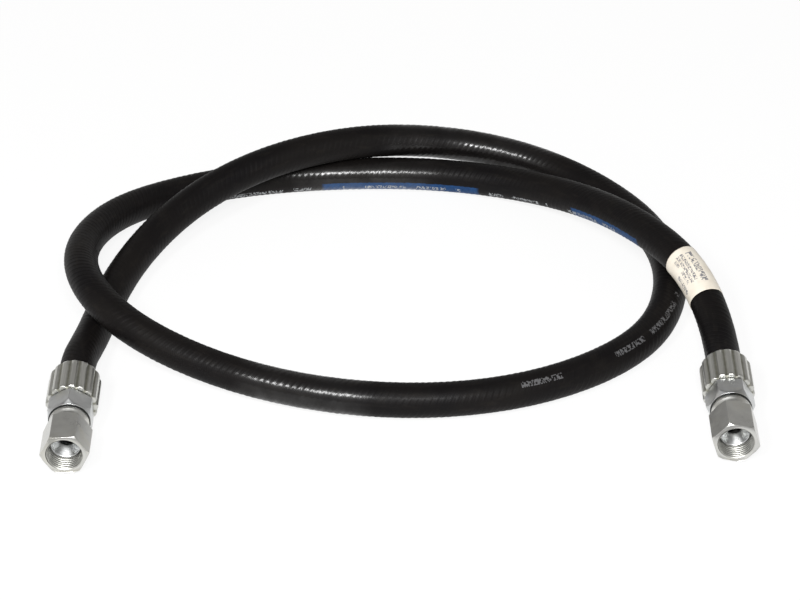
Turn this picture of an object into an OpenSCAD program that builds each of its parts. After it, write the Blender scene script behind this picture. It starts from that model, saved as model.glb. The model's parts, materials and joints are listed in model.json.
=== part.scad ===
// Hydraulic hose assembly: a two-braid rubber hose lying in one and a half turns, with a crimped
// fitting and a female swivel nut on each end. Both fittings point along -Y and lie on z = 0.

/* [Hose] */
// Outside diameter of the hose cover
hose_od = 18.5; // [17:0.1:19]
// Bore of the hose
hose_bore = 9.5; // [9:0.1:10]
// Length of the identification label, in steps of the route
label_span = 0.875; // [0.625:0.125:1]

/* [Fitting] */
// Width across flats of the swivel nut and of the stem's hexagon
hex_af = 22.2; // [21:0.1:24]
// Minor radius of the 3/4-16 thread, drawn as a plain wall
thread_r = 8.75; // [8.6:0.05:8.9]
// Half angle of the conical seat in the stem
seat_angle = 37; // [30:1:45]
// Radius of the bore through the stem
stem_bore_r = 3.6; // [3:0.1:3.8]
// Radius over the ferrule's ribs
ferrule_r = 13.6; // [13:0.1:14.5]
// Number of grooves pressed along the ferrule
flutes = 16; // [12:1:24]
// Turn of the two swivel nuts about their axes
nut_turn = [-3, 12]; // [-30:1:30]
// Turn of the two stem hexagons about their axes
stem_turn = [30, -2]; // [-30:1:30]
// Turn of the ferrules' ribs about their axes
rib_turn = 3; // [-11:1:11]

/* [Hidden] */
$fn = 96;

// The fittings' axes are parallel to Y, at plus and minus fitting_x, at the height of the ferrule's ribs.
fitting_x = 170;
axis_z = ferrule_r;
// Y of each nut's mouth. Distances called s run from the mouth along the axis into the hose.
mouth_y = [-38, -28];

// Stations along a fitting's axis
wall_from = 0.7;       // thread wall begins behind the countersink
wall_to = 7.9;         // and ends ahead of the stem's nose
nose_s = 8.2;          // front face of the stem
flange_s = [16, 18.7]; // flange that the nut pulls on
nut_hex_s = 21.8;      // rear end of the nut's hexagon
wire_s = 24.6;         // middle of the retaining wire
nut_end_s = 28.4;      // rear end of the nut's collar
hex_s = [28.8, 41.5];  // the stem's hexagon
lip_s = [41.9, 44.3];  // the ferrule's front lip, in the stem's neck groove
hose_s = 44.4;         // end face of the hose
tail_s = 62.5;         // end of the stem's barbed tail
ferrule_s = 66;        // rear end of the ferrule

// Radii about a fitting's axis
hex_r = hex_af / 2 / cos(30);
collar_r = 10.4;
journal_r = 7.8;
journal_gap = 0.08;
relief_r = 9.6;
flange_r = 9.2;
nose_r = 7.9;
seat_r = 7.3;
neck_r = 6.3;
tail_r = 4.3;
barb_r = 4.42;
wire_r = 0.85;
gap = 0.05;            // between pieces that are pressed together in the real hose

// Radii of the hose's layers
bore_r = hose_bore / 2;
tube_r = bore_r + 1.5;
braid_r = tube_r + 0.9;
outer_braid_r = braid_r + 0.9;
cover_r = hose_od / 2;
label_r = cover_r + 0.3;

// The hose's route: control points of a cubic spline, from end a to end b. low is the height of
// the centre line where the hose lies on the ground. One pass climbs over another three times.
low = cover_r + 0.25;
route = [
    [-170, 6.4, axis_z], [-170, 20, axis_z], [-170, 34, axis_z], [-170, 48, axis_z],
    [-165, 73, low], [-159, 117, low], [-143, 161, 13.5], [-115, 195, 23], [-75, 222, 30.5],
    [-25, 247, 28.5], [24, 260, 20], [70, 256, 12.5], [108, 230, low], [137, 191, low],
    [151, 147, low], [146, 99, low], [127, 62, low], [86, 31, low], [36, 14, 10], [-18, 14, low],
    [-72, 27, 10.5], [-119, 45, 17.5], [-154, 65, 28.5], [-174, 101, 31], [-177, 144, 24],
    [-162, 184, 18], [-134, 214, 11], [-92, 233, low], [-40, 240, low], [14, 241, low],
    [64, 227, 11.5], [102, 198, 19], [129, 158, 29], [155, 119, 29.5], [167, 85, 19.5],
    [170, 58, axis_z], [170, 44, axis_z], [170, 30, axis_z], [170, 16.4, axis_z]
];
last = len(route) - 1;
ends = concat([2 * route[0] - route[1]], route, [2 * route[last] - route[last - 1]]);

// A ring at every control point, and one between two where the hose climbs or bends most.
fine = [[4, 15], [22, 36]];
rings = [for (u = [0:0.5:last]) if (u == floor(u) || in_fine(u)) u];
label_from = 33;
sides = 10;

function in_fine(u) = (u > fine[0][0] && u < fine[0][1]) || (u > fine[1][0] && u < fine[1][1]);
function unit(v) = v / norm(v);

// Weights of the four control points round a place t of the way along one span, and their slopes
function weights(t) = [pow(1 - t, 3), 3 * t * t * t - 6 * t * t + 4,
    3 * (t + t * t - t * t * t) + 1, t * t * t] / 6;
function slopes(t) = [-pow(1 - t, 2), 3 * t * t - 4 * t, 1 + 2 * t - 3 * t * t, t * t] / 2;
function span_of(u) = min(floor(u), last - 1);
function four(i) = [for (k = [0:3]) ends[i + k]];
function route_at(u) = weights(u - span_of(u)) * four(span_of(u));
function heading(u) = unit(slopes(u - span_of(u)) * four(span_of(u)));

// One ring of points round the route. Its first point is level with the centre line.
function whole_ring(u, r) =
    let (side = unit(cross(heading(u), [0, 0, 1])), up = cross(side, heading(u)))
    [for (k = [0:sides - 1]) route_at(u) + r * (cos(360 * k / sides) * side + sin(360 * k / sides) * up)];

// A ring at any place. Between two of the hose's own rings it lies on the flats that join them.
function ring(u, r) =
    let (before = floor(2 * u) / 2, share = 2 * (u - before))
    share == 0
        ? whole_ring(u, r)
        : (1 - share) * whole_ring(before, r) + share * whole_ring(before + 0.5, r);

// A closed tube between two radii, swept through the rings at the places us
module swept_tube(us, r_in, r_out) {
    count = len(us);
    total = count * sides;
    points = concat([for (u = us) each ring(u, r_out)], [for (u = us) each ring(u, r_in)]);
    walls = [for (i = [0:count - 2], k = [0:sides - 1])
        let (a = i * sides + k, b = i * sides + (k + 1) % sides)
        each [[a, b, b + sides], [a, b + sides, a + sides],
            [total + a, total + b + sides, total + b], [total + a, total + a + sides, total + b + sides]]];
    caps = [for (k = [0:sides - 1], i = [0, count - 1])
        let (a = i * sides + k, b = i * sides + (k + 1) % sides)
        each i == 0
            ? [[a, total + a, total + b], [a, total + b, b]]
            : [[a, total + b, total + a], [a, b, total + b]]];
    polyhedron(points, concat(walls, caps), convexity = 12);
}

module inner_tube() {
    color("#1d1d1f") swept_tube(rings, bore_r, tube_r);
}

module inner_wire_braid() {
    color("#b9a06a") swept_tube(rings, tube_r + gap, braid_r);
}

module outer_wire_braid() {
    color("#c2aa74") swept_tube(rings, braid_r + gap, outer_braid_r);
}

module outer_cover() {
    color("#222122") swept_tube(rings, outer_braid_r + gap, cover_r);
}

module label_sleeve() {
    label_rings = [label_from, label_from + 0.5, label_from + label_span];
    color("#e6dccb") swept_tube(label_rings, cover_r + gap, label_r);
}

// Puts a piece drawn round Z, with s along Z, on the axis of end 0 (a) or end 1 (b)
module on_axis(end) {
    translate([end == 0 ? -fitting_x : fitting_x, mouth_y[end], axis_z])
        rotate([-90, 0, 0]) children();
}

module turned(outline) {
    rotate_extrude() polygon(outline);
}

// A hexagonal prism with both ends chamfered. front and rear are [radius, depth] of the chamfers.
module chamfered_hex(from, to, front, rear, turn) {
    big = hex_r + 0.1;
    intersection() {
        translate([0, 0, from]) rotate([0, 0, turn]) cylinder(h = to - from, r = hex_r, $fn = 6);
        turned([[0, from], [front[0], from], [big, from + front[1]],
            [big, to - rear[1]], [rear[0], to], [0, to]]);
    }
}

module stem(end) {
    seat_depth = (seat_r - stem_bore_r) / tan(seat_angle);
    barbs = [for (k = [0:5]) 46 + 2.6 * k];
    color("#b4b5b0") on_axis(end) difference() {
        union() {
            turned(concat(
                [[0, nose_s], [nose_r - 0.3, nose_s], [nose_r, nose_s + 0.3], [nose_r, flange_s[0]],
                    [flange_r, flange_s[0]], [flange_r, flange_s[1]], [journal_r, flange_s[1]],
                    [journal_r, hex_s[0] + 1], [neck_r, hex_s[0] + 1], [neck_r, lip_s[1]], [tail_r, lip_s[1]]],
                [for (s = barbs) each [[tail_r, s], [barb_r, s], [tail_r, s + 2.2]]],
                [[tail_r, tail_s - 0.5], [tail_r - 0.3, tail_s], [0, tail_s]]));
            chamfered_hex(hex_s[0], hex_s[1], [10.5, 2.2], [10.8, 1.2], stem_turn[end]);
        }
        turned([[0, nose_s - 1], [seat_r + 1 * tan(seat_angle), nose_s - 1], [seat_r, nose_s],
            [stem_bore_r, nose_s + seat_depth], [stem_bore_r, tail_s + 1], [0, tail_s + 1]]);
        translate([0, 0, wire_s]) rotate_extrude() translate([journal_r, 0]) circle(r = wire_r + gap);
    }
}

module ferrule(end) {
    groove_r = 1.8;
    groove_at = ferrule_r + 0.7;
    color("#96968e") on_axis(end) difference() {
        turned([[neck_r + gap, lip_s[0]], [ferrule_r - 1, lip_s[0]], [ferrule_r, lip_s[0] + 0.7],
            [ferrule_r, ferrule_s - 1.6], [ferrule_r - 0.8, ferrule_s - 0.5], [ferrule_r - 2.2, ferrule_s],
            [cover_r + gap, ferrule_s], [cover_r + gap, lip_s[1]], [neck_r + gap, lip_s[1]]]);
        for (k = [0:flutes - 1])
            rotate([0, 0, rib_turn + (k + 0.5) * 360 / flutes])
                translate([groove_at, 0, lip_s[0] - 1])
                    cylinder(h = ferrule_s - lip_s[0] + 2, r = groove_r, $fn = 32);
    }
}

// The wire ring that keeps the nut on the stem: it is open at one side, so that it can be fed in.
module nut_wire(end) {
    color("#8f9298") on_axis(end) translate([0, 0, wire_s]) difference() {
        rotate_extrude() translate([journal_r, 0]) circle(r = wire_r);
        translate([0, -1, -2]) cube([12, 2, 4]);
    }
}

module swivel_nut(end) {
    hole_r = journal_r + journal_gap;
    color("#b9bab4") on_axis(end) difference() {
        union() {
            chamfered_hex(0, nut_hex_s, [11.5, 0.8], [collar_r, 2], nut_turn[end]);
            turned([[0, nut_hex_s - 2], [collar_r, nut_hex_s - 2], [collar_r, nut_end_s - 0.8],
                [collar_r - 0.8, nut_end_s], [0, nut_end_s]]);
        }
        turned([[0, -1], [thread_r + wall_from + 1, -1], [thread_r, wall_from], [thread_r, wall_to],
            [relief_r, wall_to + relief_r - thread_r], [relief_r, 19], [hole_r, 19],
            [hole_r, nut_end_s + 1], [0, nut_end_s + 1]]);
        translate([0, 0, wire_s]) rotate_extrude() translate([journal_r, 0]) circle(r = wire_r + 0.3);
    }
}

inner_tube();
inner_wire_braid();
outer_wire_braid();
outer_cover();
label_sleeve();
stem(0);  // stem_a
ferrule(0);  // ferrule_a
nut_wire(0);  // nut_wire_a
swivel_nut(0);  // swivel_nut_a
stem(1);  // stem_b
ferrule(1);  // ferrule_b
nut_wire(1);  // nut_wire_b
swivel_nut(1);  // swivel_nut_b
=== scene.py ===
"""The looks of a hydraulic hose assembly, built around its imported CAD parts.

Lengths are in metres and angles in radians. The hose's route and the places along its two
fittings repeat those of the CAD model.
"""

import json
import math

import bpy
import numpy as np
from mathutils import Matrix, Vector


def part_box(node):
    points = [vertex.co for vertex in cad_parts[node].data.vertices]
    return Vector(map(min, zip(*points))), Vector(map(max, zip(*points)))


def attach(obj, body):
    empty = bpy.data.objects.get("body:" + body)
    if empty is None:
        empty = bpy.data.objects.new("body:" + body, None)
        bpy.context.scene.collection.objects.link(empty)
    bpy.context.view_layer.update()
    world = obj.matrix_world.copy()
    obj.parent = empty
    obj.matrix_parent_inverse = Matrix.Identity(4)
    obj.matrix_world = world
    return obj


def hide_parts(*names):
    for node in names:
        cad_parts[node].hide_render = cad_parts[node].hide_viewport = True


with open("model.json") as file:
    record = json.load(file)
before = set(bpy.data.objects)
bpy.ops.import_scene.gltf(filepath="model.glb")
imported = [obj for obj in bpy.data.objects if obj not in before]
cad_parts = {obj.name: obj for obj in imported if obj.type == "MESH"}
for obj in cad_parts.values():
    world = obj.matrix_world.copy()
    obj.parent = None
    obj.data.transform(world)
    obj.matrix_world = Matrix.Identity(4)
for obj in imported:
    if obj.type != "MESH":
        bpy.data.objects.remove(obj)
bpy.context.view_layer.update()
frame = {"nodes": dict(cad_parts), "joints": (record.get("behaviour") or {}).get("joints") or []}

MM = 0.001
TURN = 2 * math.pi


# ---------------------------------------------------------------- camera, floor and lights

CAMERA_PLACE = (-0.0006, -1.2487, 0.9247)
CAMERA_BELOW_LEVEL = math.radians(34)
CAMERA_LENS_MM = 135
CAMERA_SENSOR_MM = 36

FLOOR_HALF = 6.0
FLOOR_TONE = 0.12
FLOOR_GLOW = 0.87
WORLD_TONE = (1.0, 0.985, 0.97)
WALL_STRENGTH = 0.5
WALL_TOP = 0.35  # upward part of the direction where the walls start to darken
CEILING_STRENGTH = 0.2
CEILING_EDGE = 0.85  # and where they have become the ceiling

# Each softbox: its name, degrees round from the camera's side, degrees up, distance, width,
# height and power
SOFTBOXES = [
    ("key", 1, 41, 1.9, 0.42, 0.32, 26),
    ("side", -24, 43, 1.9, 0.30, 0.34, 17),
]
AIM = (0.0, 0.16, 0.0)


def link(obj):
    bpy.context.scene.collection.objects.link(obj)
    return obj


def point_at(obj, target):
    """Turns a camera or lamp so that it looks at the target."""
    away = obj.location - type(obj.location)(target)
    obj.rotation_euler = away.to_track_quat("Z", "Y").to_euler()


def add_camera():
    lens = bpy.data.cameras.new("photo_camera")
    lens.lens = CAMERA_LENS_MM
    lens.sensor_width = CAMERA_SENSOR_MM
    camera = link(bpy.data.objects.new("photo_camera", lens))
    camera.location = CAMERA_PLACE
    camera.rotation_euler = (math.pi / 2 - CAMERA_BELOW_LEVEL, 0, 0)
    bpy.context.scene.camera = camera


def add_softboxes():
    for name, round_deg, up_deg, distance, width, height, power in SOFTBOXES:
        lamp = bpy.data.lights.new(name, "AREA")
        lamp.shape = "RECTANGLE"
        lamp.size = width
        lamp.size_y = height
        lamp.energy = power
        box = link(bpy.data.objects.new(name, lamp))
        about = math.radians(round_deg)
        up = math.radians(up_deg)
        box.location = (
            AIM[0] + distance * math.cos(up) * math.sin(about),
            AIM[1] - distance * math.cos(up) * math.cos(about),
            AIM[2] + distance * math.sin(up),
        )
        point_at(box, AIM)


def add_world():
    """A room with pale walls and a darker ceiling."""
    world = bpy.data.worlds.new("studio")
    world.use_nodes = True
    nodes = world.node_tree.nodes
    background = nodes["Background"]
    background.inputs["Color"].default_value = (*WORLD_TONE, 1)
    direction = nodes.new("ShaderNodeTexCoord")
    parts = nodes.new("ShaderNodeSeparateXYZ")
    height = nodes.new("ShaderNodeMapRange")
    limits = [WALL_TOP, CEILING_EDGE, WALL_STRENGTH, CEILING_STRENGTH]
    for socket, value in enumerate(limits, start=1):
        height.inputs[socket].default_value = value
    links = world.node_tree.links
    links.new(direction.outputs["Generated"], parts.inputs[0])
    links.new(parts.outputs["Z"], height.inputs[0])
    links.new(height.outputs[0], background.inputs["Strength"])
    bpy.context.scene.world = world
    bpy.context.scene.view_settings.view_transform = "Standard"


# ---------------------------------------------------------------- the hose's route

# Control points of a uniform cubic B-spline, from end a to end b, as x, y and z
ROUTE = [
    (-0.170, 0.0064, 0.0136), (-0.170, 0.020, 0.0136), (-0.170, 0.034, 0.0136),
    (-0.170, 0.048, 0.0136), (-0.165, 0.073, 0.0095), (-0.159, 0.117, 0.0095),
    (-0.143, 0.161, 0.0135), (-0.115, 0.195, 0.023), (-0.075, 0.222, 0.0305),
    (-0.025, 0.247, 0.0285), (0.024, 0.260, 0.020), (0.070, 0.256, 0.0125),
    (0.108, 0.230, 0.0095), (0.137, 0.191, 0.0095), (0.151, 0.147, 0.0095),
    (0.146, 0.099, 0.0095), (0.127, 0.062, 0.0095), (0.086, 0.031, 0.0095), (0.036, 0.014, 0.010),
    (-0.018, 0.014, 0.0095), (-0.072, 0.027, 0.0105), (-0.119, 0.045, 0.0175),
    (-0.154, 0.065, 0.0285), (-0.174, 0.101, 0.031), (-0.177, 0.144, 0.024),
    (-0.162, 0.184, 0.018), (-0.134, 0.214, 0.011), (-0.092, 0.233, 0.0095),
    (-0.040, 0.240, 0.0095), (0.014, 0.241, 0.0095), (0.064, 0.227, 0.0115),
    (0.102, 0.198, 0.019), (0.129, 0.158, 0.029), (0.155, 0.119, 0.0295), (0.167, 0.085, 0.0195),
    (0.170, 0.058, 0.0136), (0.170, 0.044, 0.0136), (0.170, 0.030, 0.0136),
    (0.170, 0.0164, 0.0136),
]  # fmt: skip
SPANS = len(ROUTE) - 1


def route_at(places):
    """Points of the route and its headings there. A place counts spans from end a."""
    controls = np.array(ROUTE)
    first = 2 * controls[0] - controls[1]
    last = 2 * controls[-1] - controls[-2]
    controls = np.vstack([first, controls, last])
    span = np.minimum(places.astype(int), SPANS - 1)
    t = places - span
    weights = [(1 - t) ** 3, 3 * t**3 - 6 * t**2 + 4, 1 + 3 * (t + t**2 - t**3), t**3]
    slopes = [-((1 - t) ** 2), 3 * t**2 - 4 * t, 1 + 2 * t - 3 * t**2, t**2]
    points = sum(w[:, None] * controls[span + k] for k, w in enumerate(weights)) / 6
    headings = sum(w[:, None] * controls[span + k] for k, w in enumerate(slopes))
    return points, headings / np.linalg.norm(headings, axis=1, keepdims=True)


def lengths_to(places):
    """Length of hose from end a to each of a fine row of places."""
    points, _ = route_at(places)
    steps = np.linalg.norm(np.diff(points, axis=0), axis=1)
    return np.concatenate([[0], np.cumsum(steps)])


STEPS_PER_SPAN = 80
PLACES = np.linspace(0, SPANS, SPANS * STEPS_PER_SPAN + 1)
LENGTHS = lengths_to(PLACES)
HOSE_LENGTH = float(LENGTHS[-1])


def length_at(place):
    """Length of hose from end a to a place on the route."""
    return float(np.interp(place, PLACES, LENGTHS))


def hose_surface(lengths, angles, radius):
    """Points round the hose: one row for each length, one column for each angle.

    Angle 0 is the inside of the loop, level with the centre line, and a quarter turn is up.
    """
    centre, heading = route_at(np.interp(lengths, LENGTHS, PLACES))
    side = np.cross(heading, (0, 0, 1))
    side /= np.linalg.norm(side, axis=1, keepdims=True)
    up = np.cross(side, heading)
    outward = (
        np.cos(angles)[None, :, None] * side[:, None, :]
        + np.sin(angles)[None, :, None] * up[:, None, :]
    )
    return centre[:, None, :] + radius[:, :, None] * outward


# ---------------------------------------------------------------- meshes

UV = "along_and_around"


def joint_place(end):
    """A point on the axis of the fitting at one end of the hose."""
    return next(j for j in frame["joints"] if j["name"] == f"nut_{end}_spin")["pos_m"]


def ring_mesh(name, points, along, shares):
    """A closed mesh from rings of points. The last ring joins the first one.

    Its UV map holds each point's distance along the piece, and its share of a turn around it.
    """
    rows, columns = points.shape[:2]
    index = np.arange(rows * columns).reshape(rows, columns)
    right = np.roll(index, -1, axis=1)
    below = np.roll(index, -1, axis=0)
    below_right = np.roll(below, -1, axis=1)
    faces = np.stack([index, right, below_right, below], axis=-1).reshape(-1, 4)
    mesh = bpy.data.meshes.new(name)
    mesh.from_pydata(points.reshape(-1, 3).tolist(), [], faces.tolist())
    mesh.polygons.foreach_set("use_smooth", np.ones(len(faces), bool))

    uv = np.zeros((rows, columns, 4, 2))
    along_next = np.roll(along, -1, axis=0)
    along_right = np.roll(along, -1, axis=1)
    along_next_right = np.roll(along_next, -1, axis=1)
    for corner, values in enumerate([along, along_right, along_next_right, along_next]):
        uv[:, :, corner, 0] = values
    next_shares = np.append(shares[1:], 1.0)
    for corner, values in enumerate([shares, next_shares, next_shares, shares]):
        uv[:, :, corner, 1] = values
    layer = mesh.uv_layers.new(name=UV)
    layer.data.foreach_set("uv", uv.ravel())
    return link(bpy.data.objects.new(name, mesh))


def flip_if_inside_out(obj):
    """Makes the faces look outwards, whichever way round the rings ran."""
    mesh = obj.data
    mesh.calc_loop_triangles()
    co = np.array([v.co for v in mesh.vertices])
    corners = co[np.array([t.vertices[:] for t in mesh.loop_triangles])]
    volume = np.einsum("ij,ij->i", corners[:, 0], np.cross(corners[:, 1], corners[:, 2]))
    if volume.sum() < 0:
        mesh.flip_normals()


def finish_piece(obj, look, body, nodes):
    """Gives a piece its material and body, and hides the CAD nodes it stands for."""
    flip_if_inside_out(obj)
    obj.data.materials.append(look.material)
    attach(obj, body)
    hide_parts(*nodes)
    return obj


# ---------------------------------------------------------------- materials


class Look:
    """A material being made: its Principled shader, and the nodes that feed it."""

    def __init__(self, name, **fixed):
        self.material = bpy.data.materials.new(name)
        self.material.use_nodes = True
        self.tree = self.material.node_tree
        self.shader = self.tree.nodes["Principled BSDF"]
        for socket, value in fixed.items():
            self.feed(socket.replace("_", " "), value)

    def fill(self, target, value):
        if isinstance(value, bpy.types.NodeSocket):
            self.tree.links.new(value, target)
        elif isinstance(value, tuple) and len(value) == 3 and target.type == "RGBA":
            target.default_value = (*value, 1)
        else:
            target.default_value = value

    def feed(self, socket, value):
        """Sets one of the shader's inputs, or links what feeds it."""
        self.fill(self.shader.inputs[socket], value)

    def node(self, kind, inputs=(), **settings):
        """Adds a node. inputs pairs the names or numbers of its sockets with their values."""
        node = self.tree.nodes.new("ShaderNode" + kind)
        for key, value in settings.items():
            setattr(node, key, value)
        for socket, value in inputs:
            self.fill(node.inputs[socket], value)
        return node

    def math(self, operation, *values):
        return self.node("Math", enumerate(values), operation=operation).outputs[0]

    def product(self, *values):
        result = values[0]
        for value in values[1:]:
            result = self.math("MULTIPLY", result, value)
        return result

    def total(self, values):
        result = values[0]
        for value in values[1:]:
            result = self.math("ADD", result, value)
        return result

    def remap(self, value, low, high, to_low=0.0, to_high=1.0):
        inputs = enumerate([value, low, high, to_low, to_high])
        return self.node("MapRange", inputs).outputs[0]

    def mix(self, share, first, second):
        """A colour between two, by a share from 0 to 1."""
        inputs = [(0, share), (6, first), (7, second)]
        return self.node("Mix", inputs, data_type="RGBA").outputs[2]

    def mapped(self):
        """Distance along the piece, and share of a turn around it, from the mesh's map."""
        uv = self.node("UVMap", uv_map=UV).outputs[0]
        parts = self.node("SeparateXYZ", [(0, uv)])
        return parts.outputs[0], parts.outputs[1]

    def place(self):
        """The place in the piece at rest. It moves with the piece."""
        return self.node("TexCoord").outputs["Object"]

    def vector(self, x, y, z=0.0):
        return self.node("CombineXYZ", enumerate([x, y, z])).outputs[0]

    def noise(self, vector, scale, detail=3.0, roughness=0.55):
        inputs = [
            ("Vector", vector),
            ("Scale", scale),
            ("Detail", detail),
            ("Roughness", roughness),
        ]
        return self.node("TexNoise", inputs).outputs[0]

    def random(self, x, y, seed):
        inputs = [("Vector", self.vector(x, y, seed))]
        return self.node("TexWhiteNoise", inputs, noise_dimensions="3D").outputs["Value"]

    def waves(self, phase):
        """A wave from 0 to 1, once for each whole step of phase."""
        swing = self.math("SINE", self.math("MULTIPLY", phase, TURN))
        return self.math("MULTIPLY_ADD", swing, 0.5, 0.5)

    def between(self, value, low, high, soft):
        """1 from low to high and 0 beyond, over a border that is soft wide."""
        rise = self.remap(value, low - soft, low)
        fall = self.remap(value, high, high + soft, 1.0, 0.0)
        return self.math("MULTIPLY", rise, fall)

    def bump(self, *heights):
        """Feeds the normal with a pile of (height, metres) pairs."""
        normal = None
        for height, metres in heights:
            inputs = [("Height", height), ("Distance", metres), ("Strength", 1.0)]
            if normal is not None:
                inputs.append(("Normal", normal))
            normal = self.node("Bump", inputs).outputs[0]
        self.feed("Normal", normal)


def spiral(look, along, around, pitch, starts):
    """Steps of a spiral pattern: one for each pitch along, and starts for each turn around."""
    return look.math("MULTIPLY_ADD", around, starts, look.product(along, 1 / pitch))


TICK_ROWS = 3  # ticks one above the other in a row of print
TICKS_LEFT_OUT = 0.5
GAPS = 0.2  # share of the words that are left blank


def unread_print(look, along, across, height, cell, word, seed):
    """A mask like print too small to read: a row of random ticks, with gaps here and there.

    across is the distance from the row's middle, and height is the height of the row. cell is
    the width of a tick, and word is the length that is inked or left blank as one.
    """
    column = look.math("FLOOR", look.math("DIVIDE", along, cell))
    row = look.math("FLOOR", look.math("DIVIDE", across, height / TICK_ROWS))
    inked = look.math("GREATER_THAN", look.random(column, row, seed), TICKS_LEFT_OUT)
    word_number = look.math("FLOOR", look.math("DIVIDE", along, word))
    written = look.math("GREATER_THAN", look.random(word_number, 0.0, seed + 1.0), GAPS)
    line = look.math("LESS_THAN", look.math("ABSOLUTE", across), height / 2)
    return look.product(inked, written, line)


# ---------------------------------------------------------------- the hose

# Radii of the layers from the bore outwards, and the gap between one layer and the next
BORE_RADIUS = 4.75 * MM
TUBE_RADIUS = 6.25 * MM
BRAID_RADIUS = 7.15 * MM
OUTER_BRAID_RADIUS = 8.05 * MM
COVER_RADIUS = 9.25 * MM
LABEL_RADIUS = 9.5 * MM
LAYER_GAP = 0.05 * MM
CIRCUMFERENCE = TURN * COVER_RADIUS

# Rings of points along the layers, and columns of points round them
INNER_RINGS = 400
TUBE_COLUMNS = 20
BRAID_COLUMNS = 24
COVER_RINGS = 2300
COVER_COLUMNS = 38
LABEL_RINGS = 60
LABEL_COLUMNS = 72
FIRST_ANGLE = -math.pi  # angle of the first column round the hose

# The cover's wound texture: ribs on a slow spiral, several side by side, and finer ones across
RIB_PITCH = 3.4 * MM
RIB_STARTS = 8
RIB_HEIGHT = 0.065 * MM
CROSSING_PITCH = 1.3 * MM
CROSSING_STARTS = 34.0

# The braid's wires side by side, in each of its two directions
BRAID_STARTS = 24.0


def around_share(degrees):
    """An angle round the hose as the share of a turn that the UV map holds."""
    return (math.radians(degrees) - FIRST_ANGLE) / TURN


# Where the marks are: stretches by place on the route, and middles and edges round the hose.
# Two blue patches with white ticks on and beside them, and a line of faint ticks.
BLUE_PATCHES = [(27.9, 29.65), (31.1, 32.3)]
BLUE_FROM = around_share(-60)
BLUE_TO = around_share(-2.4)
WHITE_PRINT = [(26.0, 27.75), (28.1, 29.45), (29.8, 30.65), (31.0, 32.0)]
WHITE_MIDDLE = around_share(-30)
FAINT_PRINT = [(12.4, 14.6), (14.9, 16.4), (16.9, 17.5)]
FAINT_MIDDLE = around_share(127)

# Stretches of the route where the cover is still glossy. The rest has gone dull with handling.
GLOSSY = [(9.5, 11.3), (19.2, 20.0), (27.8, 28.9)]

RUBBER = [(0.0034, 0.0029, 0.0032), (0.0062, 0.0052, 0.0047)]
DUST = (0.014, 0.012, 0.010)
BLUE_PAINT = [(0.007, 0.012, 0.03), (0.010, 0.048, 0.14)]
WHITE_PAINT = (0.30, 0.31, 0.32)
FAINT_PAINT = (0.16, 0.16, 0.165)

LABEL_FROM = length_at(33.0)
LABEL_TO = length_at(33.875)
LABEL_FILM = [(0.70, 0.64, 0.54), (0.80, 0.75, 0.66)]
LABEL_GRIME = (0.46, 0.40, 0.32)
LABEL_INK = (0.075, 0.085, 0.12)
LAP_FROM = math.radians(-118)
LAP_ANGLE = 0.45
LAP_HEIGHT = 0.1 * MM

# The label's rows of ticks: degrees round the hose, height and tick width in mm, and start and
# stop as shares of the label's length
LABEL_ROWS = [
    (91, 3.6, 0.55, 0.13, 0.80),
    (65, 1.9, 0.36, 0.13, 0.72),
    (50, 1.9, 0.36, 0.13, 0.74),
    (35, 1.9, 0.36, 0.17, 0.70),
    (11, 2.4, 0.42, 0.42, 0.86),
]


def on_stretches(look, along, stretches, soft):
    """1 on these stretches of the route and 0 elsewhere, over borders that are soft wide."""
    return look.total(
        [look.between(along, length_at(start), length_at(stop), soft) for start, stop in stretches]
    )


def mark_line(look, along, around, stretches, middle, height, cell, seed):
    """The ticks of one line on the hose, on each of its stretches."""
    across = look.math("MULTIPLY", look.math("SUBTRACT", around, middle), CIRCUMFERENCE)
    ink = unread_print(look, along, across, height, cell, 6.1 * MM, seed)
    return look.math("MULTIPLY", ink, on_stretches(look, along, stretches, 0.1 * MM))


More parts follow.
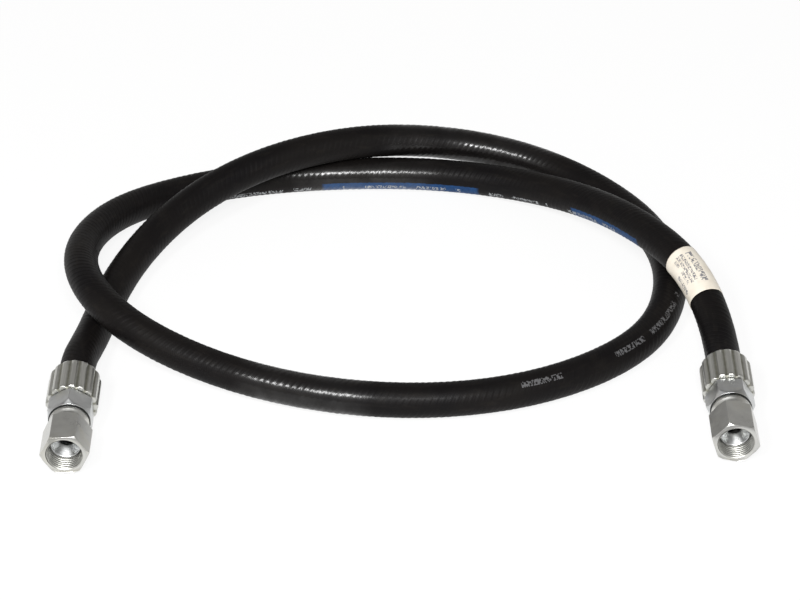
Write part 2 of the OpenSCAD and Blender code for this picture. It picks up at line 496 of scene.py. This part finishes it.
def cover_look():
    look = Look(
        "cover_rubber",
        Specular_IOR_Level=0.1,
        Coat_Roughness=0.2,
        Coat_IOR=1.45,
    )
    along, around = look.mapped()
    place = look.place()
    cloudy = look.noise(place, 28.0, 4.0)
    grain = look.noise(place, 900.0, 3.0, 0.6)
    smears = look.noise(look.vector(look.product(along, 14.0), look.product(around, 3.0)), 6.0)

    rubber = look.mix(look.remap(cloudy, 0.35, 0.7), *RUBBER)
    dusty = look.mix(look.remap(smears, 0.52, 0.8, 0.0, 0.5), rubber, DUST)

    blue_patch = on_stretches(look, along, BLUE_PATCHES, 2 * MM)
    ragged = look.math("MULTIPLY_ADD", look.noise(place, 420.0), 0.02, around)
    blue_patch = look.product(blue_patch, look.between(ragged, BLUE_FROM, BLUE_TO, 0.006))
    worn = look.remap(look.noise(place, 260.0, 5.0, 0.7), 0.3, 0.62, 0.5, 1.0)
    colour = look.mix(blue_patch, dusty, look.mix(worn, *BLUE_PAINT))

    white = mark_line(look, along, around, WHITE_PRINT, WHITE_MIDDLE, 3.4 * MM, 0.62 * MM, 3.0)
    colour = look.mix(look.product(white, worn), colour, WHITE_PAINT)
    faint = mark_line(look, along, around, FAINT_PRINT, FAINT_MIDDLE, 3.2 * MM, 0.55 * MM, 8.0)
    colour = look.mix(look.product(faint, 0.55), colour, FAINT_PAINT)
    look.feed("Base Color", colour)

    patchy = look.remap(look.noise(place, 75.0, 4.0, 0.65), 0.35, 0.65, 0.35, 1.0)
    gloss = look.product(on_stretches(look, along, GLOSSY, 16 * MM), patchy)
    look.feed("Coat Weight", look.math("MULTIPLY_ADD", gloss, 0.85, 0.02))
    rough = look.remap(cloudy, 0.3, 0.7, 0.48, 0.58)
    rough = look.math("SUBTRACT", rough, look.product(gloss, 0.14))
    rough = look.math("ADD", rough, look.remap(grain, 0.3, 0.7, -0.04, 0.05))
    rough = look.math("MAXIMUM", rough, look.product(blue_patch, 0.44))
    look.feed("Roughness", rough)

    slanted = spiral(look, along, around, RIB_PITCH / 2, -2.0 * RIB_STARTS)
    crossing = spiral(look, along, around, CROSSING_PITCH, CROSSING_STARTS)
    look.bump(
        (look.waves(slanted), 0.028 * MM),
        (look.waves(crossing), 0.012 * MM),
        (grain, 0.035 * MM),
        (faint, -0.05 * MM),
    )
    return look


def label_look():
    look = Look("label_film", Roughness=0.48, Specular_IOR_Level=0.4)
    along, around = look.mapped()
    place = look.place()
    paper = look.noise(place, 160.0, 4.0)
    film = look.mix(look.remap(paper, 0.3, 0.7), *LABEL_FILM)
    grime = look.remap(look.noise(place, 60.0, 5.0, 0.7), 0.55, 0.8, 0.0, 0.5)
    colour = look.mix(grime, film, LABEL_GRIME)
    span = LABEL_TO - LABEL_FROM
    for number, (degrees, height, cell, start, stop) in enumerate(LABEL_ROWS):
        away = look.math("SUBTRACT", around, around_share(degrees))
        across = look.math("MULTIPLY", away, CIRCUMFERENCE)
        word = 1.9 * height * MM
        ink = unread_print(look, along, across, height * MM, cell * MM, word, 20.0 + number)
        shown = look.between(
            along, LABEL_FROM + start * span, LABEL_FROM + stop * span, 0.05 * MM
        )
        ink = look.product(ink, shown, 0.82)
        colour = look.mix(ink, colour, LABEL_INK)
    look.feed("Base Color", colour)
    look.bump((paper, 0.05 * MM), (look.noise(place, 700.0), 0.02 * MM))
    return look


def inner_rubber_look():
    look = Look("inner_rubber", Roughness=0.6)
    grain = look.noise(look.place(), 500.0)
    look.feed("Base Color", look.mix(grain, (0.008, 0.008, 0.009), (0.02, 0.019, 0.018)))
    look.bump((grain, 0.03 * MM))
    return look


def braid_look(name, pitch):
    """Wires wound both ways, over and under."""
    look = Look(name, Metallic=1.0)
    along, around = look.mapped()
    one_way = look.waves(spiral(look, along, around, pitch, BRAID_STARTS))
    other_way = look.waves(spiral(look, along, around, pitch, -BRAID_STARTS))
    weave = look.math("MAXIMUM", one_way, other_way)
    stain = look.noise(look.place(), 200.0)
    wire = look.mix(stain, (0.50, 0.40, 0.22), (0.66, 0.58, 0.40))
    look.feed("Base Color", look.mix(weave, (0.05, 0.045, 0.04), wire))
    look.feed("Roughness", look.remap(stain, 0.3, 0.7, 0.3, 0.45))
    look.bump((weave, 0.25 * MM))
    return look


def hose_layer(name, inner, outer, rings, columns, start=0.0, stop=HOSE_LENGTH, relief=None):
    """A tube of the hose, closed at its ends. relief adds to its outer radius."""
    angles = FIRST_ANGLE + TURN * np.arange(columns) / columns
    lengths = np.linspace(start, stop, rings)
    radius = np.full((rings, columns), outer)
    if relief is not None:
        radius += relief(lengths[:, None], angles[None, :])
    inside = np.linspace(stop, start, max(rings // 8, 12))
    points = np.concatenate(
        [
            hose_surface(lengths, angles, radius),
            hose_surface(inside, angles, np.full((len(inside), columns), inner)),
        ]
    )
    along = np.concatenate([lengths, inside])[:, None].repeat(columns, axis=1)
    return ring_mesh(name, points, along, np.arange(columns) / columns)


def ripple(lengths, angles, wavelength, lobes=0):
    """A wave along a piece that also runs round it, with so many lobes to the turn."""
    return np.sin(TURN * lengths / wavelength + lobes * angles)


def cover_relief(lengths, angles):
    """Slanted ribs that come and go, on a hose that isn't quite round or straight."""
    phase = TURN * lengths / RIB_PITCH - RIB_STARTS * angles
    drift = 0.7 * ripple(lengths, angles, 83 * MM, 1) + 0.5 * ripple(lengths, angles, 29 * MM)
    strength = 1 + 0.35 * ripple(lengths, angles, 47 * MM, 2)
    strength += 0.25 * ripple(lengths, angles, 17.3 * MM, -3)
    ribs = RIB_HEIGHT * strength * np.sin(phase + drift)
    lumps = 0.03 * MM * ripple(lengths, angles, 131 * MM, 2)
    wear = 0.02 * MM * ripple(lengths, angles, 11.1 * MM, 5)
    return ribs + lumps + wear


def label_relief(lengths, angles):
    """Small wrinkles, and a step where the film laps over itself."""
    wrinkles = 0.02 * MM * ripple(lengths, angles, 9.3 * MM, 3)
    lapped = (angles > LAP_FROM) & (angles < LAP_FROM + LAP_ANGLE)
    return wrinkles + np.where(lapped, LAP_HEIGHT, 0.0)


def add_hose():
    inner_tube = hose_layer(
        "hose_inner_tube", BORE_RADIUS, TUBE_RADIUS, INNER_RINGS, TUBE_COLUMNS
    )
    finish_piece(inner_tube, inner_rubber_look(), "hose", ["inner_tube"])
    inner_braid = hose_layer(
        "hose_inner_braid", TUBE_RADIUS + LAYER_GAP, BRAID_RADIUS, INNER_RINGS, BRAID_COLUMNS
    )
    finish_piece(
        inner_braid, braid_look("inner_braid", 8 * MM), "hose", ["inner_wire_braid"]
    )
    outer_braid = hose_layer(
        "hose_outer_braid", BRAID_RADIUS + LAYER_GAP, OUTER_BRAID_RADIUS, INNER_RINGS, BRAID_COLUMNS
    )
    finish_piece(
        outer_braid, braid_look("outer_braid", 9 * MM), "hose", ["outer_wire_braid"]
    )
    cover = hose_layer(
        "hose_cover",
        OUTER_BRAID_RADIUS + LAYER_GAP,
        COVER_RADIUS,
        COVER_RINGS,
        COVER_COLUMNS,
        relief=cover_relief,
    )
    finish_piece(cover, cover_look(), "hose", ["outer_cover"])
    label = hose_layer(
        "hose_label",
        COVER_RADIUS + LAYER_GAP,
        LABEL_RADIUS,
        LABEL_RINGS,
        LABEL_COLUMNS,
        LABEL_FROM,
        LABEL_TO,
        label_relief,
    )
    finish_piece(label, label_look(), "hose", ["label_sleeve"])


# ---------------------------------------------------------------- the fittings

# A station is a distance from the nut's mouth, along the fitting
HEX_FLATS = 22.2 * MM
EASE = 0.3 * MM  # how far an edge is rounded over
HEX_EDGE = 0.25 * MM  # the small round where a hexagon meets its end face
THREAD_PITCH = 25.4 / 16 * MM
THREAD_MINOR = 8.75 * MM
THREAD_MAJOR = 9.5 * MM
THREAD_END = 11.6 * MM
RINGS_PER_PITCH = 12

# How far each fitting's hexagons and ribs are turned about its axis
NUT_TURN = {"a": math.radians(-3), "b": math.radians(12)}
STEM_TURN = {"a": math.radians(30), "b": math.radians(-2)}
RIB_TURN = math.radians(3)

NUT_HEX_END = 21.8 * MM
NUT_END = 28.4 * MM
NUT_SHOULDER = 19 * MM
NUT_HOLE = 7.88 * MM
RELIEF_RADIUS = 9.6 * MM
COUNTERSINK_RADIUS = 9.45 * MM

# The retaining wire's middle, and the radii of its grooves in the nut and on the stem
WIRE_PLACE = 24.6 * MM
WIRE_CENTRE = 7.8 * MM
NUT_GROOVE = 1.15 * MM
STEM_GROOVE = 0.9 * MM

NOSE_PLACE = 8.2 * MM
NOSE_RADIUS = 7.9 * MM
SEAT_RADIUS = 7.3 * MM
SEAT_ANGLE = math.radians(37)
STEM_BORE = 3.6 * MM
FLANGE_RADIUS = 9.2 * MM
FLANGE_STATIONS = (16 * MM, 18.7 * MM)
JOURNAL_RADIUS = 7.8 * MM
STEM_HEX_STATIONS = (28.8 * MM, 41.5 * MM)
NECK_RADIUS = 6.3 * MM
TAIL_RADIUS = 4.3 * MM
TAIL_END = 62.5 * MM
BARBS = 6
FIRST_BARB = 46 * MM
BARB_PITCH = 2.6 * MM
BARB_LENGTH = 2.2 * MM
BARB_HEIGHT = 0.12 * MM

RIBS = 16
FERRULE_RADIUS = 13.6 * MM
FERRULE_END = 66 * MM
FERRULE_COLUMNS = 24 * RIBS
LIP_STATIONS = (41.9 * MM, 44.3 * MM)
GROOVE_RADIUS = 1.8 * MM
GROOVE_CENTRE = FERRULE_RADIUS + 0.7 * MM

# Angles in one sixth of a turn, closer together near the hexagon's corner at each end
SIXTH = np.radians(
    [0, 0.8, 1.7, 2.8, 4.5, 8, 12, 17, 23, 30, 37, 43, 48, 52, 55.5, 57.2, 58.3, 59.2]
)
HEX_ANGLES = np.concatenate([SIXTH + k * TURN / 6 for k in range(6)])


def smooth_min(a, b, ease=EASE):
    """The lesser of two values, rounded over where they are nearly the same."""
    near = np.maximum(ease - np.abs(a - b), 0) / ease
    return np.minimum(a, b) - near**2 * ease / 4


def hexagon(angles):
    """Radius of the hexagon, with a corner at angle 0 and its corners rounded over."""
    radius = np.full_like(angles, 1.0)
    for k in range(6):
        toward = np.cos(angles - (k + 0.5) * TURN / 6)
        radius = smooth_min(radius, HEX_FLATS / 2 / np.maximum(toward, 0.3))
    return radius


def hex_prism(start, stop, front, rear):
    """Rings of a hexagonal prism. front and rear are the (radius, depth) of its chamfers."""
    flats = hexagon(HEX_ANGLES)
    corner = HEX_FLATS / 2 / math.cos(TURN / 12) + 0.1 * MM
    front_slope = (corner - front[0]) / front[1]
    rear_slope = (corner - rear[0]) / rear[1]
    stations = np.concatenate(
        [
            np.linspace(start + HEX_EDGE, start + front[1] + EASE, 14),
            np.linspace(start + front[1] + EASE, stop - rear[1] - EASE, 8)[1:-1],
            np.linspace(stop - rear[1] - EASE, stop - HEX_EDGE, 14),
        ]
    )
    rings = []
    for s in stations:
        radius = smooth_min(flats, front[0] + (s - start) * front_slope)
        radius = smooth_min(radius, rear[0] + (stop - s) * rear_slope)
        rings.append((radius, s))
    quarter_round = [
        (HEX_EDGE * k, HEX_EDGE * (1 - math.sqrt(1 - k**2))) for k in (1.0, 0.65, 0.3)
    ]
    lead_in = [(rings[0][0] - inward, start + back) for inward, back in quarter_round]
    lead_out = [(rings[-1][0] - inward, stop - back) for inward, back in quarter_round[::-1]]
    return lead_in + rings + lead_out


def thread_rings(start, stop):
    """Rings of the internal thread, from start to stop."""
    rings = []
    flank = math.tan(math.radians(60))
    flat = THREAD_PITCH / 16
    for s in np.linspace(start, stop, int((stop - start) / THREAD_PITCH * RINGS_PER_PITCH)):
        turns = s / THREAD_PITCH - HEX_ANGLES / TURN
        away = np.abs(turns - np.floor(turns) - 0.5) * THREAD_PITCH
        radius = THREAD_MAJOR - flank * np.maximum(away - flat, 0)
        radius = np.maximum(radius, THREAD_MINOR)
        countersink = COUNTERSINK_RADIUS - s
        rings.append((np.maximum(radius, countersink), s))
    return rings


def groove_rings(outward, radius, about):
    """Rings of a round groove for the retaining wire. outward is 1 in a bore, -1 on a shaft."""
    rings = []
    for s in np.linspace(-0.98, 0.98, 9) * radius:
        depth = math.sqrt(radius**2 - s**2)
        rings.append((WIRE_CENTRE + outward * depth, about + s))
    return rings


def fitting_piece(name, rings, end, angles, turn):
    """A closed turned piece on a fitting's axis. rings are its (radius, station) pairs."""
    axis = joint_place(end)
    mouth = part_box(f"swivel_nut_{end}")[0].y
    radius = np.array([np.broadcast_to(r, angles.shape) for r, _ in rings])
    station = np.array([np.broadcast_to(s, angles.shape) for _, s in rings])
    points = np.stack(
        [
            axis[0] + radius * np.cos(angles + turn),
            mouth + station,
            axis[2] - radius * np.sin(angles + turn),
        ],
        axis=-1,
    )
    return ring_mesh(name, points, station, angles / TURN)


WARM_TINT = (1.0, 0.97, 0.88)


def zinc_look(name, tones, roughness, marks):
    """Zinc-plated steel. tones are its darker and lighter colours, and marks its tool marks."""
    look = Look(name, Metallic=1.0)
    along, around = look.mapped()
    place = look.place()
    cloudy = look.noise(place, 150.0, 4.0, 0.6)
    fine = look.noise(place, 1500.0, 3.0, 0.6)
    lines = look.noise(look.vector(look.product(along, 2400.0), look.product(around, 3.0)), 1.0)
    tint = look.noise(place, 70.0, 2.0)
    colour = look.mix(look.remap(cloudy, 0.3, 0.7), *tones)
    warm = tuple(part * tint_part for part, tint_part in zip(tones[1], WARM_TINT))
    colour = look.mix(look.remap(tint, 0.5, 0.75, 0.0, 0.7), colour, warm)
    look.feed("Base Color", colour)
    low, high = roughness
    rough = look.remap(cloudy, 0.3, 0.7, low, high)
    rough = look.math("ADD", rough, look.remap(lines, 0.3, 0.7, -0.04, 0.04))
    look.feed("Roughness", rough)
    look.bump((lines, marks), (fine, 0.006 * MM), (cloudy, 0.03 * MM))
    return look


def ferrule_look():
    """Duller zinc, streaked on the ribs, with painted shade colouring the grooves between them
    dark.
    """
    look = Look("ferrule_zinc", Metallic=1.0)
    along, around = look.mapped()
    place = look.place()
    turns = look.math("FRACT", look.product(around, float(RIBS)))
    from_groove = look.math("ABSOLUTE", look.math("SUBTRACT", turns, 0.5))
    blotchy_noise = look.noise(place, 260.0, 5.0, 0.7)
    streaks = look.noise(look.vector(look.product(around, 260.0), look.product(along, 60.0)), 1.0)
    ragged = look.math("MULTIPLY_ADD", blotchy_noise, 0.12, from_groove)
    # Painted shade: the bottoms of the grooves between the ribs get a dark colour, ragged at its
    # edge.
    in_groove = look.remap(ragged, 0.12, 0.30, 1.0, 0.0)
    rib = look.mix(streaks, (0.44, 0.44, 0.415), (0.70, 0.70, 0.66))
    # The painted shade's colour in the grooves: dark zinc that varies in blotches.
    groove = look.mix(blotchy_noise, (0.17, 0.17, 0.14), (0.36, 0.355, 0.30))
    look.feed("Base Color", look.mix(in_groove, rib, groove))
    look.feed("Roughness", look.remap(in_groove, 0.0, 1.0, 0.34, 0.5))
    look.bump((streaks, 0.03 * MM), (blotchy_noise, 0.05 * MM))
    return look


def thread_look():
    """The nut's thread: light on its crests, with painted shade dark down between them."""
    look = Look("thread_zinc", Metallic=1.0, Roughness=0.42)
    along, around = look.mapped()
    turns = look.math("SUBTRACT", look.product(along, 1 / THREAD_PITCH), around)
    from_root = look.math("ABSOLUTE", look.math("SUBTRACT", look.math("FRACT", turns), 0.5))
    grime = look.noise(look.place(), 500.0, 4.0)
    crest = look.mix(grime, (0.40, 0.40, 0.37), (0.60, 0.60, 0.57))
    # Painted shade: the thread's roots are coloured near black.
    root_shade = look.remap(from_root, 0.1, 0.3, 1.0, 0.0)
    look.feed("Base Color", look.mix(root_shade, crest, (0.04, 0.04, 0.035)))
    look.bump((grime, 0.02 * MM))
    return look


def wire_look():
    look = Look("spring_wire", Metallic=1.0)
    streaks = look.noise(look.place(), 900.0)
    look.feed("Base Color", look.mix(streaks, (0.30, 0.30, 0.31), (0.50, 0.50, 0.52)))
    look.feed("Roughness", look.remap(streaks, 0.3, 0.7, 0.28, 0.4))
    look.bump((streaks, 0.01 * MM))
    return look


def paint_rings(obj, look, first):
    """Gives the faces from one ring to the last a second material."""
    mesh = obj.data
    mesh.materials.append(look.material)
    painted = np.zeros(len(mesh.polygons), np.int32)
    painted[first * len(HEX_ANGLES) :] = 1
    mesh.polygons.foreach_set("material_index", painted)


def add_nut(end, look, thread):
    """The swivel nut: hexagon, collar, and a bore with its thread, relief and wire groove."""
    rings = [(COUNTERSINK_RADIUS + 0.12 * MM, 0.0)]
    rings += hex_prism(0.0, NUT_HEX_END, (11.45 * MM, 1.1 * MM), (10.9 * MM, 1.4 * MM))
    # The collar in mm: waisted behind the hexagon, then a rounded bead
    collar = [
        (10.2, 21.85), (9.6, 22.05), (9.3, 22.5), (9.2, 23.2), (9.2, 25.2), (9.3, 25.5),
        (10.15, 26.35), (10.35, 26.7), (10.4, 27.1), (10.35, 27.7), (10.1, 28.15), (9.6, 28.4),
    ]  # fmt: skip
    rings += [(radius * MM, station * MM) for radius, station in collar]
    rings += [(NUT_HOLE + 0.15 * MM, NUT_END), (NUT_HOLE, NUT_END - 0.15 * MM)]
    rings += groove_rings(1, NUT_GROOVE, WIRE_PLACE)[::-1]
    rings += [
        (NUT_HOLE, NUT_SHOULDER + 0.1 * MM),
        (NUT_HOLE + 0.1 * MM, NUT_SHOULDER),
        (RELIEF_RADIUS - 0.1 * MM, NUT_SHOULDER),
        (RELIEF_RADIUS, NUT_SHOULDER - 0.1 * MM),
        (RELIEF_RADIUS, THREAD_END + 0.5 * MM),
    ]
    thread_start = len(rings)
    rings += thread_rings(0.16 * MM, THREAD_END)[::-1]
    nut = fitting_piece(f"nut_{end}", rings, end, HEX_ANGLES, NUT_TURN[end])
    finish_piece(nut, look, f"nut_{end}", [f"swivel_nut_{end}"])
    paint_rings(nut, thread, thread_start)


def add_stem(end, look):
    """The stem: seat, journal, flange, hexagon, neck and barbed tail, with a bore through it."""
    hex_start, hex_end = STEM_HEX_STATIONS
    flange_start, flange_end = FLANGE_STATIONS
    seat_depth = (SEAT_RADIUS - STEM_BORE) / math.tan(SEAT_ANGLE)
    rings = [
        (SEAT_RADIUS + 0.05 * MM, NOSE_PLACE + 0.03 * MM),
        (SEAT_RADIUS + 0.2 * MM, NOSE_PLACE),
        (NOSE_RADIUS - 0.25 * MM, NOSE_PLACE),
        (NOSE_RADIUS - 0.08 * MM, NOSE_PLACE + 0.08 * MM),
        (NOSE_RADIUS, NOSE_PLACE + 0.3 * MM),
        (NOSE_RADIUS, flange_start),
        (FLANGE_RADIUS, flange_start),
        (FLANGE_RADIUS, flange_end),
        (JOURNAL_RADIUS, flange_end),
    ]
    rings += groove_rings(-1, STEM_GROOVE, WIRE_PLACE)
    rings += [(JOURNAL_RADIUS, 26 * MM), (JOURNAL_RADIUS, hex_start)]
    rings += hex_prism(hex_start, hex_end, (10.9 * MM, 3.4 * MM), (10.8 * MM, 1.2 * MM))
    rings += [
        (NECK_RADIUS, hex_end),
        (NECK_RADIUS, LIP_STATIONS[1]),
        (TAIL_RADIUS, LIP_STATIONS[1]),
    ]
    for k in range(BARBS):
        barb = FIRST_BARB + BARB_PITCH * k
        rings += [
            (TAIL_RADIUS, barb),
            (TAIL_RADIUS + BARB_HEIGHT, barb + 0.02 * MM),
            (TAIL_RADIUS, barb + BARB_LENGTH),
        ]
    rings += [
        (TAIL_RADIUS, TAIL_END - 0.5 * MM),
        (TAIL_RADIUS - 0.3 * MM, TAIL_END),
        (STEM_BORE, TAIL_END),
        (STEM_BORE, NOSE_PLACE + seat_depth + 0.3 * MM),
        (STEM_BORE + 0.06 * MM, NOSE_PLACE + seat_depth),
    ]
    for share in np.linspace(0.15, 0.97, 12):
        radius = STEM_BORE + share * (SEAT_RADIUS - STEM_BORE)
        rings.append((radius, NOSE_PLACE + (1 - share) * seat_depth))
    stem = fitting_piece(f"stem_{end}_piece", rings, end, HEX_ANGLES, STEM_TURN[end])
    finish_piece(stem, look, "hose", [f"stem_{end}"])


def ferrule_outline(station):
    """Radius over the ferrule's ribs at a station: rounded at both ends."""
    places = np.array([41.9, 42.1, 42.5, 43.1, 62.6, 63.8, 64.8, 65.5, 65.9, 66.0]) * MM
    radii = np.array([12.5, 12.95, 13.35, 13.6, 13.6, 13.5, 13.1, 12.45, 11.8, 11.4]) * MM
    return float(np.interp(station, places, radii))


def add_ferrule(end, look):
    """The crimped ferrule: a lip round the stem's neck, and grooves along its outside."""
    angles = TURN * np.arange(FERRULE_COLUMNS) / FERRULE_COLUMNS
    turned = angles * RIBS / TURN
    from_groove = (turned - np.floor(turned) - 0.5) * TURN / RIBS
    across = GROOVE_CENTRE * np.sin(from_groove)
    inside = np.maximum(GROOVE_RADIUS**2 - across**2, 0)
    groove = np.where(inside > 0, GROOVE_CENTRE * np.cos(from_groove) - np.sqrt(inside), 1.0)
    stations = np.concatenate(
        [
            np.linspace(LIP_STATIONS[0], 43.3 * MM, 9),
            np.linspace(43.3 * MM, 62.4 * MM, 22)[1:-1],
            np.linspace(62.4 * MM, FERRULE_END, 19),
        ]
    )
    rings = [(NECK_RADIUS + LAYER_GAP, LIP_STATIONS[0])]
    for s in stations:
        wobble = 0.06 * MM * ripple(s, angles, 17 * MM, 3)
        wobble += 0.04 * MM * ripple(s, angles, 6.1 * MM, RIBS)
        rings.append((smooth_min(ferrule_outline(s), groove + wobble, 0.25 * MM), s))
    rings += [
        (COVER_RADIUS + LAYER_GAP + 0.2 * MM, FERRULE_END),
        (COVER_RADIUS + LAYER_GAP, FERRULE_END - 0.2 * MM),
        (COVER_RADIUS + LAYER_GAP, LIP_STATIONS[1]),
        (NECK_RADIUS + LAYER_GAP, LIP_STATIONS[1]),
    ]
    ferrule = fitting_piece(f"ferrule_{end}_piece", rings, end, angles, RIB_TURN)
    finish_piece(ferrule, look, "hose", [f"ferrule_{end}"])


def add_fittings():
    nut = zinc_look("nut_zinc", [(0.53, 0.53, 0.51), (0.64, 0.64, 0.61)], (0.28, 0.38), 0.02 * MM)
    stem = zinc_look("stem_zinc", [(0.50, 0.51, 0.51), (0.64, 0.65, 0.65)], (0.3, 0.42), 0.02 * MM)
    ferrule = ferrule_look()
    thread = thread_look()
    wire = wire_look()
    for end in "ab":
        add_nut(end, nut, thread)
        add_stem(end, stem)
        add_ferrule(end, ferrule)
        frame["nodes"][f"nut_wire_{end}"].data.materials[0] = wire.material


def add_floor():
    corners = [(-1, -1), (1, -1), (1, 1), (-1, 1)]
    points = [(x * FLOOR_HALF, y * FLOOR_HALF, 0) for x, y in corners]
    mesh = bpy.data.meshes.new("floor")
    mesh.from_pydata(points, [], [(0, 1, 2, 3)])
    floor = link(bpy.data.objects.new("floor", mesh))
    look = Look("floor_paper", Roughness=0.7, Specular_IOR_Level=0.2)
    look.feed("Base Color", (FLOOR_TONE, FLOOR_TONE, FLOOR_TONE))
    look.feed("Emission Color", (1.0, 1.0, 1.0))
    look.feed("Emission Strength", FLOOR_GLOW)
    mesh.materials.append(look.material)


add_camera()
add_hose()
add_fittings()
add_floor()
add_softboxes()
add_world()
